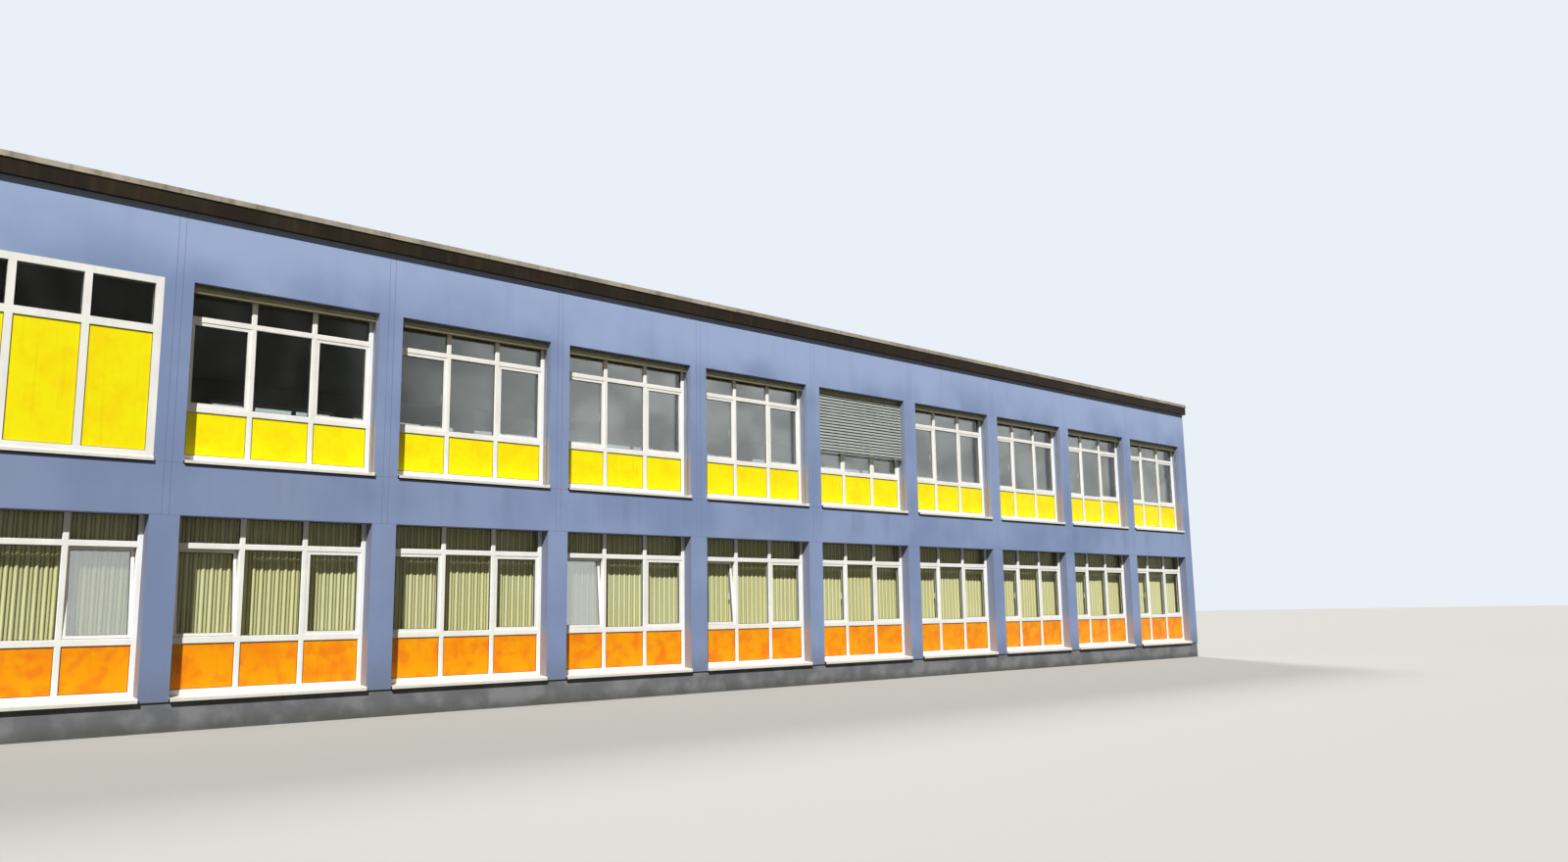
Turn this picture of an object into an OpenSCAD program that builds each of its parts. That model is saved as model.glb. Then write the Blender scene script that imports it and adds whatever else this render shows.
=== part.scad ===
// School wing of two storeys with a flat roof, in millimetres.
// X runs along the front from left to right, Y from the front to the back, Z up from the ground.

/* [Bays] */
// Number of window bays along the wing
bay_count = 10; // [7:1:11]
// Distance from one pier to the next
bay_w = 3350; // [3000:10:3500]
// Width of a pier between two windows
pier_w = 415; // [300:5:500]

/* [Walls] */
// Depth of the wing from the front wall face to the back wall face
wing_depth = 10200; // [7000:50:14000]
// Thickness of the outer walls
wall_t = 365; // [340:5:450]
// How far the plinth stands back from the wall face
plinth_setback = 25; // [5:5:60]

/* [Heights] */
// Height of the plinth, and of the ground floor above the ground
plinth_h = 430; // [350:10:800]
// Height of a ground floor window opening
ground_opening_h = 2690; // [2550:10:2900]
// Height of the wall band between the two rows of windows
band_h = 780; // [600:10:1000]
// Height of an upper window opening
upper_opening_h = 2770; // [2600:10:2950]
// Height of the wall from the upper openings to the fascia
eaves_h = 1080; // [900:10:1300]

/* [Floors] */
// Thickness of the ground floor slab
ground_slab_t = 250; // [150:10:330]
// Thickness of the upper floor slab
upper_slab_t = 280; // [200:10:400]
// Thickness of the roof slab
roof_slab_t = 300; // [200:10:350]
// Height of the upper ceiling above the window heads
ceiling_rise = 450; // [100:10:500]
// Thickness of the roof covering on its slab
roof_cover_t = 160; // [80:10:200]

/* [Roof edge] */
// Height of the dark fascia
fascia_h = 235; // [150:5:350]
// How far the fascia stands out from the wall
fascia_out = 80; // [40:5:150]
// Width and depth of the drip groove under the fascia
drip_groove = 12; // [6:1:20]
// Height of the edge trim at its outer face
trim_h = 85; // [50:5:140]
// Height of the edge trim at its inner face
trim_inner_h = 60; // [30:5:80]
// How far the edge trim stands out beyond the fascia, and in beyond the wall
trim_lip = 20; // [5:5:50]
// Open joint between two lengths of edge trim
trim_joint = 3; // [1:1:8]

/* [Windows] */
// Depth of the reveal from the wall face to the window frame
reveal = 225; // [160:5:235]
// Depth of the window frame
frame_d = 75; // [60:5:90]
// Face width of the outer frame
frame_w = 70; // [50:5:100]
// Height of the rebate that takes the top of a ground floor frame, behind the wall band
head_rebate = 70; // [20:5:90]
// Face width of a mullion
mullion_w = 85; // [60:5:110]
// Face width of the foot member, on the sill
foot_w = 85; // [60:5:120]
// Height of the coloured panels
panel_h = 660; // [500:10:800]
// Face width of the rail above the panels
rail_w = 100; // [60:5:130]
// Height of the main lights
main_light_h = 1300; // [1100:5:1350]
// Face width of the transom under the top lights
transom_w = 90; // [50:5:110]
// Width of the step round each light
bead_w = 8; // [4:1:15]
// Depth of the step round each light
bead_d = 10; // [5:1:20]
// Face width of an opening sash
sash_w = 45; // [30:5:60]
// Thickness of the double glazing
pane_t = 24; // [16:2:36]
// Thickness of the coloured panels
panel_t = 30; // [20:2:40]
// How far the tilted sashes lean into the room
tilt_angle = 5; // [2:0.5:5]

/* [Sills] */
// Height of the sill at its nose
sill_nose_h = 45; // [30:5:60]
// Height of the sill under the frame
sill_h = 70; // [60:5:90]
// How far the sill stands out from the wall
sill_out = 40; // [15:5:60]

/* [Tall panel window] */
// Face width of the tall window's outer frame
tall_frame_w = 110; // [80:5:140]
// Face width of the tall window's mullions
tall_mullion_w = 100; // [70:5:130]
// Depth of the tall window's frame
tall_frame_d = 120; // [80:5:160]
// Height of the tall panels
tall_panel_h = 1765; // [1500:5:1800]
// Face width of the transom above the tall panels
tall_transom_w = 115; // [80:5:140]

/* [Blinds] */
// Depth of a blind's head box, and width of its slats
blind_d = 80; // [60:5:90]
// Height of a blind's head box
blind_box_h = 50; // [40:5:80]
// Height of one slat in a raised stack
stack_pitch = 7; // [5:1:12]
// Number of slats in a raised stack
stack_slats = 10; // [6:1:14]
// Distance between the slats of a lowered blind
slat_pitch = 70; // [60:2:80]
// Number of slats in the lowered blind
slat_count = 20; // [10:1:24]
// Slope of the slats
slat_angle = 60; // [20:5:70]
// Thickness of a slat
slat_t = 3; // [2:0.5:5]
// Height of a blind's bottom rail
blind_rail_h = 18; // [12:2:30]
// Width of a blind's guide rail
guide_w = 20; // [15:1:30]

/* [Curtains] */
// How far the curtains and their track reach past the sides of a window
curtain_over = 140; // [50:5:145]
// Gap between two curtains, and from a curtain to an end wall
curtain_gap = 10; // [5:1:20]
// Distance from the inner wall face to the curtain's near side
curtain_off = 65; // [60:5:150]
// Depth of the curtain's folds
curtain_d = 70; // [50:5:100]
// Height of the curtain's hem above the floor
curtain_hem_h = 700; // [200:10:780]
// Height of the curtain track above the window frame
track_rise = 40; // [20:5:100]
// Width and height of the curtain track
track_t = 25; // [20:1:30]

/* [Hidden] */

// Colours
wall_blue = "#8c9bbf";
plinth_grey = "#6f7174";
concrete = "#b9b7b0";
gravel = "#8d8a83";
fascia_dark = "#2b2726";
trim_brown = "#80776d";
frame_white = "#f2f1ec";
pane_grey = "#8fa3ad";
panel_yellow = "#fde600";
panel_orange = "#f08a14";
slat_grey = "#8b877c";
rail_metal = "#b4b6b8";
curtain_cream = "#c9c4a4";

// Plan
wing_l = bay_count * bay_w + pier_w;
half_l = wing_l / 2;
half_d = wing_depth / 2;
inner_l = wing_l - 2 * wall_t;
inner_d = wing_depth - 2 * wall_t;
opening_w = bay_w - pier_w;
all_bays = [for (k = [0 : bay_count - 1]) k];
tall_bay = 0;
lowered_bays = [5];
vents = [[0, 2], [1, 0], [3, 0], [4, 0]];
sash_columns = [0, 2];
columns = [0, 1, 2];

// Levels
ground_head_z = plinth_h + ground_opening_h;
upper_sill_z = ground_head_z + band_h;
upper_head_z = upper_sill_z + upper_opening_h;
fascia_z = upper_head_z + eaves_h;
wall_top_z = fascia_z + fascia_h;
ceiling_z = upper_head_z + ceiling_rise;

// Window rows, measured from the bottom of the opening
panel_z = sill_h + foot_w;
main_z = panel_z + panel_h + rail_w;
top_z = main_z + main_light_h + transom_w;
column_w = (opening_w - 2 * frame_w - 2 * mullion_w) / 3;
column_step = column_w + mullion_w;
sash_y = reveal + bead_d;
sash_back_y = sash_y + frame_d;
pane_set = (frame_d - pane_t) / 2;
panel_set = 2 * bead_d;
over = 10;

// Tall window, measured from the bottom of the opening
tall_panel_z = sill_h + tall_frame_w - frame_w / 2;
tall_top_z = tall_panel_z + tall_panel_h + tall_transom_w;
tall_column_w = (opening_w - 2 * tall_frame_w - 2 * tall_mullion_w) / 3;
tall_column_step = tall_column_w + tall_mullion_w;

// Blinds
blind_y = (reveal - blind_d) / 2 + blind_d / 4;
blind_w = opening_w - 2 * guide_w;
blind_drop = blind_box_h + slat_count * slat_pitch + blind_rail_h;
tape_w = 12;
tape_t = 2;

// Curtains
curtain_y = wall_t + curtain_off;
track_y = curtain_y + (curtain_d - track_t) / 2;
track_z = ground_head_z + head_rebate + track_rise;

function bay_x(k) = -half_l + pier_w + k * bay_w;
function sill_z(storey) = storey == "ground" ? plinth_h : upper_sill_z;
function opening_h(storey) = storey == "ground" ? ground_opening_h : upper_opening_h;
function frame_h(storey) = opening_h(storey) + (storey == "ground" ? head_rebate : 0);
function is_tall(side, storey, k) = side == "front" && storey == "upper" && k == tall_bay;
function tilted_columns(side, storey, k) =
    side == "front" && storey == "ground" ? [for (v = vents) if (v[0] == k) v[1]] : [];
function is_vent(k) = len(tilted_columns("front", "ground", k)) > 0;
function is_lowered(k) = len(search(k, lowered_bays)) > 0;
function curtain_left(k) = k == 0 ? wall_t - pier_w + curtain_gap : -curtain_over;
function curtain_right(k) =
    opening_w + (k == bay_count - 1 ? pier_w - wall_t - curtain_gap : curtain_over);
function curtain_w(k) = (curtain_right(k) - curtain_left(k) - curtain_gap) / 2;
function row_z(row) = row == 0 ? panel_z : row == 1 ? main_z : top_z;
function row_h(row, h) = row == 0 ? panel_h : row == 1 ? main_light_h : h - frame_w - top_z;

// Puts what is drawn with the wall face at y = 0, room side towards +Y, on the front or the back
module on_side(side) {
    rotate([0, 0, side == "back" ? 180 : 0])
        translate([0, -half_d, 0])
            children();
}

// Repeats what is drawn for one opening, from its lower left corner, along a row of bays
module at_bays(side, storey, bays) {
    on_side(side)
        for (k = bays)
            translate([bay_x(k), 0, sill_z(storey)])
                children();
}

module wall_run(side, y, t, z, h) {
    on_side(side)
        translate([-half_l, y, z])
            cube([wing_l, t, h]);
}

// Wall between the storeys, rebated for the tops of the ground floor frames
module storey_band(side) {
    color(wall_blue)
        difference() {
            wall_run(side, 0, wall_t, ground_head_z, band_h);
            on_side(side)
                for (k = all_bays)
                    translate([bay_x(k), reveal, ground_head_z - over])
                        cube([opening_w, wall_t, head_rebate + over]);
        }
}

module pier_row(side, storey) {
    on_side(side)
        for (k = [0 : bay_count])
            translate([-half_l + k * bay_w, 0, sill_z(storey)])
                cube([pier_w, wall_t, opening_h(storey)]);
}

module end_wall(x) {
    translate([x, -inner_d / 2, plinth_h])
        cube([wall_t, inner_d, wall_top_z - plinth_h]);
}

module floor_slab(z, t) {
    translate([-inner_l / 2, -inner_d / 2, z])
        cube([inner_l, inner_d, t]);
}

// Section of the fascia: its outer face is at x = -fascia_out, its foot has a drip groove
module fascia_section() {
    difference() {
        translate([-fascia_out, 0])
            square([fascia_out, fascia_h]);
        translate([-fascia_out + 2 * drip_groove, -drip_groove])
            square([drip_groove, 2 * drip_groove]);
    }
}

// Section of the edge trim: it falls towards the roof
module trim_section() {
    outer = -fascia_out - trim_lip;
    inner = wall_t + trim_lip;
    polygon([[outer, 0], [outer, trim_h], [inner, trim_inner_h], [inner, 0]]);
}

// Draws a section along X on the front, with the section's x pointing into the building
module edge_run(l, z) {
    translate([-l / 2, -half_d, z])
        rotate([90, 0, 90])
            linear_extrude(l)
                children();
}

// Draws a section along Y on the left end, with the section's x pointing into the building
module end_run(l, z) {
    translate([-half_l, l / 2, z])
        rotate([90, 0, 0])
            linear_extrude(l)
                children();
}

module both_ends() {
    children();
    mirror([1, 0, 0])
        children();
}

// One light of a window, as a block that fills it
module light(column, row, h, y, d, grow = 0) {
    translate([frame_w + column * column_step - grow, y, row_z(row) - grow])
        cube([column_w + 2 * grow, d, row_h(row, h) + 2 * grow]);
}

module window_frame(h) {
    difference() {
        translate([0, reveal, sill_h])
            cube([opening_w, frame_d, h - sill_h]);
        for (column = columns, row = [0 : 2]) {
            light(column, row, h, reveal - over, frame_d + 2 * over);
            light(column, row, h, reveal - over, bead_d + over, bead_w);
        }
    }
}

module frame_row(side, storey, bays) {
    color(frame_white)
        at_bays(side, storey, bays)
            window_frame(frame_h(storey));
}

// Opening sash of one main light
module sash(column) {
    difference() {
        light(column, 1, 0, sash_y, frame_d);
        translate([sash_w, -over, sash_w])
            sash_opening(column);
    }
}

// The clear space inside a sash, drawn from the light's corner
module sash_opening(column) {
    translate([frame_w + column * column_step, sash_y, main_z])
        cube([column_w - 2 * sash_w, frame_d + 2 * over, main_light_h - 2 * sash_w]);
}

module sash_pane(column) {
    translate([frame_w + column * column_step + sash_w, sash_y + pane_set, main_z + sash_w])
        cube([column_w - 2 * sash_w, pane_t, main_light_h - 2 * sash_w]);
}

// Leans a sash into the room about its lower inner edge
module tilted() {
    translate([0, sash_back_y, main_z])
        rotate([-tilt_angle, 0, 0])
            translate([0, -sash_back_y, -main_z])
                children();
}

function closed_columns(side, storey, k) =
    [for (c = sash_columns) if (len(search(c, tilted_columns(side, storey, k))) == 0) c];

module sashes(side, storey) {
    for (k = all_bays)
        if (!is_tall(side, storey, k))
            at_bays(side, storey, [k])
                for (column = closed_columns(side, storey, k))
                    sash(column);
}

module glass(side, storey) {
    h = frame_h(storey);
    for (k = all_bays)
        if (!is_tall(side, storey, k))
            at_bays(side, storey, [k]) {
                for (column = columns)
                    light(column, 2, h, reveal + pane_set, pane_t);
                light(1, 1, h, reveal + pane_set, pane_t);
                for (column = closed_columns(side, storey, k))
                    sash_pane(column);
                for (column = tilted_columns(side, storey, k))
                    tilted() sash_pane(column);
            }
}

module panels(side, storey) {
    for (k = all_bays)
        if (!is_tall(side, storey, k))
            at_bays(side, storey, [k])
                for (column = columns)
                    light(column, 0, 0, reveal + panel_set, panel_t);
}

// Sloped sill with its nose in front of the wall, run under the frame
module sill(frame_y, depth) {
    rotate([90, 0, 90])
        linear_extrude(opening_w)
            polygon([
                [-sill_out, 0], [-sill_out, sill_nose_h], [frame_y, sill_h],
                [frame_y + depth, sill_h], [frame_y + depth, 0]
            ]);
}

module sills(side, storey) {
    for (k = all_bays)
        at_bays(side, storey, [k])
            if (is_tall(side, storey, k))
                sill(0, tall_frame_d);
            else
                sill(reveal, frame_d);
}

module tall_light(column, z, h, y, d) {
    translate([tall_frame_w + column * tall_column_step, y, z])
        cube([tall_column_w, d, h]);
}

function tall_top_h() = upper_opening_h - tall_frame_w - tall_top_z;

module raised_blind() {
    stack_h = stack_slats * stack_pitch;
    translate([guide_w, 0, upper_opening_h])
        rotate([90, 0, 90])
            linear_extrude(blind_w) {
                translate([blind_y, -blind_box_h])
                    square([blind_d, blind_box_h]);
                translate([blind_y + stack_pitch / 2, -blind_box_h - stack_h])
                    square([blind_d - stack_pitch, stack_h]);
                for (i = [1 : stack_slats])
                    translate([blind_y, -blind_box_h - i * stack_pitch])
                        square([blind_d, stack_pitch / 2]);
                translate([blind_y, -blind_box_h - stack_h - blind_rail_h])
                    square([blind_d, blind_rail_h]);
            }
}

module lowered_slats() {
    mid_y = blind_y + blind_d / 2;
    translate([guide_w, 0, upper_opening_h])
        rotate([90, 0, 90])
            linear_extrude(blind_w) {
                translate([blind_y, -blind_box_h])
                    square([blind_d, blind_box_h]);
                for (i = [1 : slat_count - 1])
                    translate([mid_y, -blind_box_h - i * slat_pitch])
                        rotate(slat_angle)
                            translate([-blind_d / 2, 0])
                                square([blind_d, slat_t]);
                translate([blind_y, -blind_drop])
                    square([blind_d, blind_rail_h]);
            }
    for (part = [1, 3, 5])
        translate([guide_w + blind_w * part / 6, mid_y, upper_opening_h - blind_drop])
            cube([tape_w, tape_t, blind_drop]);
}

module curtain_track(k) {
    left = curtain_left(k);
    right = curtain_right(k);
    translate([left, track_y, track_z - plinth_h])
        cube([right - left, track_t, track_t]);
    for (x = [left, opening_w / 2, right - track_t])
        translate([x, wall_t, track_z - plinth_h])
            cube([track_t, track_y - wall_t + track_t / 2, track_t]);
}

module front_plinth() {
    color(plinth_grey)
        wall_run("front", plinth_setback, wall_t - plinth_setback, 0, plinth_h);
}

module back_plinth() {
    color(plinth_grey)
        wall_run("back", plinth_setback, wall_t - plinth_setback, 0, plinth_h);
}

module end_plinths() {
    color(plinth_grey)
        both_ends()
            translate([-half_l + plinth_setback, -inner_d / 2, 0])
                cube([wall_t - plinth_setback, inner_d, plinth_h]);
}

module ground_floor_slab() {
    color(concrete)
        floor_slab(plinth_h - ground_slab_t, ground_slab_t);
}

module upper_floor_slab() {
    color(concrete)
        floor_slab(upper_sill_z - upper_slab_t, upper_slab_t);
}

module roof_slab() {
    color(concrete)
        floor_slab(ceiling_z, roof_slab_t);
}

module roof_covering() {
    color(gravel)
        floor_slab(ceiling_z + roof_slab_t, roof_cover_t);
}

module front_ground_piers() {
    color(wall_blue)
        pier_row("front", "ground");
}

module front_upper_piers() {
    color(wall_blue)
        pier_row("front", "upper");
}

module back_ground_piers() {
    color(wall_blue)
        pier_row("back", "ground");
}

module back_upper_piers() {
    color(wall_blue)
        pier_row("back", "upper");
}

module front_storey_band() {
    storey_band("front");
}

module back_storey_band() {
    storey_band("back");
}

module front_eaves_band() {
    color(wall_blue)
        wall_run("front", 0, wall_t, upper_head_z, wall_top_z - upper_head_z);
}

module back_eaves_band() {
    color(wall_blue)
        wall_run("back", 0, wall_t, upper_head_z, wall_top_z - upper_head_z);
}

module left_end_wall() {
    color(wall_blue)
        end_wall(-half_l);
}

module right_end_wall() {
    color(wall_blue)
        end_wall(half_l - wall_t);
}

module front_fascia() {
    color(fascia_dark)
        edge_run(wing_l + 2 * fascia_out, fascia_z)
            fascia_section();
}

module back_fascia() {
    color(fascia_dark)
        mirror([0, 1, 0])
            edge_run(wing_l + 2 * fascia_out, fascia_z)
                fascia_section();
}

module end_fascias() {
    color(fascia_dark)
        both_ends()
            end_run(wing_depth, fascia_z)
                fascia_section();
}

module roof_edge_trim() {
    out = fascia_out + trim_lip;
    color(trim_brown) {
        edge_run(wing_l + 2 * out, wall_top_z)
            trim_section();
        mirror([0, 1, 0])
            edge_run(wing_l + 2 * out, wall_top_z)
                trim_section();
        both_ends()
            end_run(inner_d - 2 * trim_lip - 2 * trim_joint, wall_top_z)
                trim_section();
    }
}

module front_ground_frames() {
    frame_row("front", "ground", [for (k = all_bays) if (!is_vent(k)) k]);
}

module front_ground_vent_frames() {
    frame_row("front", "ground", [for (k = all_bays) if (is_vent(k)) k]);
}

module front_upper_frames() {
    frame_row("front", "upper", [for (k = all_bays) if (!is_tall("front", "upper", k)) k]);
}

module back_ground_frames() {
    frame_row("back", "ground", all_bays);
}

module back_upper_frames() {
    frame_row("back", "upper", all_bays);
}

module front_sashes() {
    color(frame_white) {
        sashes("front", "ground");
        sashes("front", "upper");
    }
}

module back_sashes() {
    color(frame_white) {
        sashes("back", "ground");
        sashes("back", "upper");
    }
}

module tilted_sashes() {
    color(frame_white)
        for (vent = vents)
            at_bays("front", "ground", [vent[0]])
                tilted() sash(vent[1]);
}

module front_glass() {
    color(pane_grey) {
        glass("front", "ground");
        glass("front", "upper");
        at_bays("front", "upper", [tall_bay])
            for (column = columns)
                tall_light(column, tall_top_z, tall_top_h(), (tall_frame_d - pane_t) / 2, pane_t);
    }
}

module back_glass() {
    color(pane_grey) {
        glass("back", "ground");
        glass("back", "upper");
    }
}

module orange_panels() {
    color(panel_orange) {
        panels("front", "ground");
        panels("back", "ground");
    }
}

module yellow_panels() {
    color(panel_yellow) {
        panels("front", "upper");
        panels("back", "upper");
    }
}

module front_sills() {
    color(frame_white) {
        sills("front", "ground");
        sills("front", "upper");
    }
}

module back_sills() {
    color(frame_white) {
        sills("back", "ground");
        sills("back", "upper");
    }
}

module tall_window_frame() {
    color(frame_white)
        at_bays("front", "upper", [tall_bay])
            difference() {
                translate([0, 0, sill_h])
                    cube([opening_w, tall_frame_d, upper_opening_h - sill_h]);
                for (column = columns) {
                    tall_light(column, tall_panel_z, tall_panel_h, -over, tall_frame_d + 2 * over);
                    tall_light(column, tall_top_z, tall_top_h(), -over, tall_frame_d + 2 * over);
                }
            }
}

module tall_yellow_panels() {
    color(panel_yellow)
        at_bays("front", "upper", [tall_bay])
            for (column = columns)
                tall_light(column, tall_panel_z, tall_panel_h, panel_set, panel_t);
}

module raised_blinds() {
    color(slat_grey)
        at_bays("front", "upper", [for (k = all_bays) if (k != tall_bay && !is_lowered(k)) k])
            raised_blind();
}

module lowered_blind() {
    color(slat_grey)
        at_bays("front", "upper", lowered_bays)
            lowered_slats();
}

module blind_guide_rails() {
    color(rail_metal)
        at_bays("front", "upper", [for (k = all_bays) if (k != tall_bay) k])
            for (x = [0, opening_w - guide_w])
                translate([x, blind_y, sill_h])
                    cube([guide_w, blind_d / 2, upper_opening_h - sill_h]);
}

module curtain_tracks() {
    color(rail_metal)
        for (k = all_bays)
            at_bays("front", "ground", [k])
                curtain_track(k);
}

module ground_curtains() {
    color(curtain_cream)
        for (k = all_bays)
            at_bays("front", "ground", [k])
                for (x = [curtain_left(k), curtain_right(k) - curtain_w(k)])
                    translate([x, curtain_y, curtain_hem_h])
                        cube([curtain_w(k), curtain_d, track_z - plinth_h - curtain_hem_h]);
}

front_plinth();
back_plinth();
end_plinths();
ground_floor_slab();
upper_floor_slab();
roof_slab();
roof_covering();
front_ground_piers();
front_upper_piers();
back_ground_piers();
back_upper_piers();
front_storey_band();
back_storey_band();
front_eaves_band();
back_eaves_band();
left_end_wall();
right_end_wall();
front_fascia();
back_fascia();
end_fascias();
roof_edge_trim();
front_ground_frames();
front_ground_vent_frames();
front_upper_frames();
back_ground_frames();
back_upper_frames();
front_sashes();
back_sashes();
tilted_sashes();
front_glass();
back_glass();
orange_panels();
yellow_panels();
front_sills();
back_sills();
tall_window_frame();
tall_yellow_panels();
raised_blinds();
lowered_blind();
blind_guide_rails();
curtain_tracks();
ground_curtains();
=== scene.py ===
import math
import random

import bmesh
import bpy
from mathutils import Matrix, Vector


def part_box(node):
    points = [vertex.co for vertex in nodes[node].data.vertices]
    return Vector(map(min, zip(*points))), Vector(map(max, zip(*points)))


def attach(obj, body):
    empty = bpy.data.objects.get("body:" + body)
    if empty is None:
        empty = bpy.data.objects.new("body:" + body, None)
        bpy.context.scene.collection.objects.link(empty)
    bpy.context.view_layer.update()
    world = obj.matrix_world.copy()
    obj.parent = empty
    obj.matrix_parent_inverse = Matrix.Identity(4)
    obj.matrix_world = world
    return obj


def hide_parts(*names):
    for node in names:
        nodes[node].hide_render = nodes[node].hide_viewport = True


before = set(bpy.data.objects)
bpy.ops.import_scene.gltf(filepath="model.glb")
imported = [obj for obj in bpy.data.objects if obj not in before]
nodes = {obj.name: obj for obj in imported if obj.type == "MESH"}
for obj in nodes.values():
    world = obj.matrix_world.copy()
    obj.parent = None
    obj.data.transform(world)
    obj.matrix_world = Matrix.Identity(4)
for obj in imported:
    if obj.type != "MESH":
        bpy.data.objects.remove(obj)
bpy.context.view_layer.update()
print("frame loaded with", len(nodes), "nodes")

# The wing in metres and degrees, with bays and columns counted from 0 at the left. Its lengths
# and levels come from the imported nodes.
wing = {
    "bays": 10,
    "pier": 0.415,
    "reveal": 0.225,
    "tallBay": 0,
    "loweredBay": 5,
    "tilted": ((0, 2), (1, 0), (3, 0), (4, 0)),
    "tiltAngle": 5,
}
# One window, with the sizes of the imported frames
window = {
    "sill": 0.07,
    "foot": 0.085,
    "panel": 0.66,
    "rail": 0.1,
    "main": 1.3,
    "transom": 0.09,
    "frame": 0.07,
    "mullion": 0.085,
    "depth": 0.075,
    "step": 0.01,
    "sash": 0.045,
    "pane": 0.024,
    "panelThick": 0.03,
    "sillOut": 0.04,
    "sillNose": 0.045,
    "rebate": 0.07,
}
tallWindow = {
    "frame": 0.11,
    "mullion": 0.1,
    "depth": 0.12,
    "panel": 1.765,
    "transom": 0.115,
}
wallLow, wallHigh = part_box("front_ground_piers")
upperLow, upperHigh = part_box("front_upper_piers")
trimLow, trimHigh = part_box("roof_edge_trim")
halfLength = wallHigh.x
halfDepth = -wallLow.y
wallThick = wallHigh.y - wallLow.y
bayStep = (2 * halfLength - wing["pier"]) / wing["bays"]
openingWidth = bayStep - wing["pier"]
columnWidth = (openingWidth - 2 * window["frame"] - 2 * window["mullion"]) / 3
sillLevel = {"ground": wallLow.z, "upper": upperLow.z}
headLevel = {"ground": wallHigh.z, "upper": upperHigh.z}
panelRise = window["sill"] + window["foot"]
mainRise = panelRise + window["panel"] + window["rail"]
topRise = mainRise + window["main"] + window["transom"]
curtainLow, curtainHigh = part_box("ground_curtains")
curtainLength = curtainHigh.z - curtainLow.z


def openingLeft(bay):
    return -halfLength + wing["pier"] + bay * bayStep


def columnLeft(column):
    return window["frame"] + column * (columnWidth + window["mullion"])


def onSide(side, x, depth, z):
    # depth runs from the wall face into the building, x from left to right as seen from that side
    if side == "front":
        return Vector((x, depth - halfDepth, z))
    return Vector((-x, halfDepth - depth, z))


def isTall(side, storey, bay):
    return side == "front" and storey == "upper" and bay == wing["tallBay"]


def isTilted(side, storey, bay, column):
    return side == "front" and storey == "ground" and (bay, column) in wing["tilted"]


def windowsOf(side):
    # storey and bay of each window with three columns of lights
    return [(storey, bay) for storey in ("ground", "upper") for bay in range(wing["bays"])
            if not isTall(side, storey, bay)]


class Wire:  # one output of a node, used in sums
    def __init__(self, socket):
        self.socket = socket

    def also(self, name):
        return Wire(self.socket.node.outputs[name])

    def maths(self, operation, *values):
        bench = Bench(self.socket.id_data)
        return bench.add("ShaderNodeMath", {"operation": operation}, dict(enumerate(values)))

    def __add__(self, other):
        return self.maths("ADD", self, other)

    def __radd__(self, other):
        return self.maths("ADD", other, self)

    def __sub__(self, other):
        return self.maths("SUBTRACT", self, other)

    def __rsub__(self, other):
        return self.maths("SUBTRACT", other, self)

    def __mul__(self, other):
        return self.maths("MULTIPLY", self, other)

    def __rmul__(self, other):
        return self.maths("MULTIPLY", other, self)

    def __truediv__(self, other):
        return self.maths("DIVIDE", self, other)

    def __pow__(self, other):
        return self.maths("POWER", self, other)

    def __lt__(self, other):
        return self.maths("LESS_THAN", self, other)

    def __gt__(self, other):
        return self.maths("GREATER_THAN", self, other)

    def __abs__(self):
        return self.maths("ABSOLUTE", self)

    def fraction(self):
        return self.maths("FRACT", self)

    def either(self, other):
        return self.maths("MAXIMUM", self, other)


class Bench:  # adds nodes to a tree
    def __init__(self, tree):
        self.tree = tree

    def add(self, kind, settings=None, inputs=None, out=0):
        node = self.tree.nodes.new(kind)
        node.location.x = 180 * len(self.tree.nodes)
        for name, value in (settings or {}).items():
            setattr(node, name, value)
        for name, value in (inputs or {}).items():
            if isinstance(value, Wire):
                self.tree.links.new(value.socket, node.inputs[name])
            else:
                node.inputs[name].default_value = value
        return Wire(node.outputs[out]) if node.outputs else node


class Finish(Bench):  # a material, with the tools that all of them use
    def __init__(self, name):
        self.material = bpy.data.materials.new(name)
        self.material.use_nodes = True
        super().__init__(self.material.node_tree)
        self.tree.nodes.clear()
        self.place = self.add("ShaderNodeTexCoord", out="Object")
        self.x = self.add("ShaderNodeSeparateXYZ", {}, {"Vector": self.place})
        self.y = self.x.also("Y")
        self.z = self.x.also("Z")

    def noise(self, scale, detail=3, stretch=(1, 1, 1), roughness=0.5, place=None):
        vector = self.add("ShaderNodeVectorMath", {"operation": "MULTIPLY"},
                          {0: place or self.place, 1: stretch})
        return self.add("ShaderNodeTexNoise", {}, {
            "Vector": vector, "Scale": scale, "Detail": detail, "Roughness": roughness})

    def ease(self, value, low, high):
        # 0 where the value is low, 1 where it is high, smooth between
        return self.add("ShaderNodeMapRange", {"interpolation_type": "SMOOTHSTEP"},
                        {"Value": value, "From Min": low, "From Max": high})

    def line(self, value, centre, width):
        return abs(value - centre) < width / 2

    def blend(self, amount, under, over):
        return self.add("ShaderNodeMix", {"data_type": "RGBA"}, {0: amount, 6: under, 7: over}, 2)

    def bump(self, height, distance, strength):
        return self.add("ShaderNodeBump", {},
                        {"Height": height, "Distance": distance, "Strength": strength})

    def principled(self, inputs):
        return self.add("ShaderNodeBsdfPrincipled", {}, inputs)

    def close(self, surface):
        self.add("ShaderNodeOutputMaterial", {}, {"Surface": surface})
        return self.material


def paint(code):
    # a colour as a screen shows it, as linear values
    parts = [int(code[i:i + 2], 16) / 255 for i in (1, 3, 5)]
    linear = [p / 12.92 if p < 0.04045 else ((p + 0.055) / 1.055) ** 2.4 for p in parts]
    return (*linear, 1)


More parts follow.
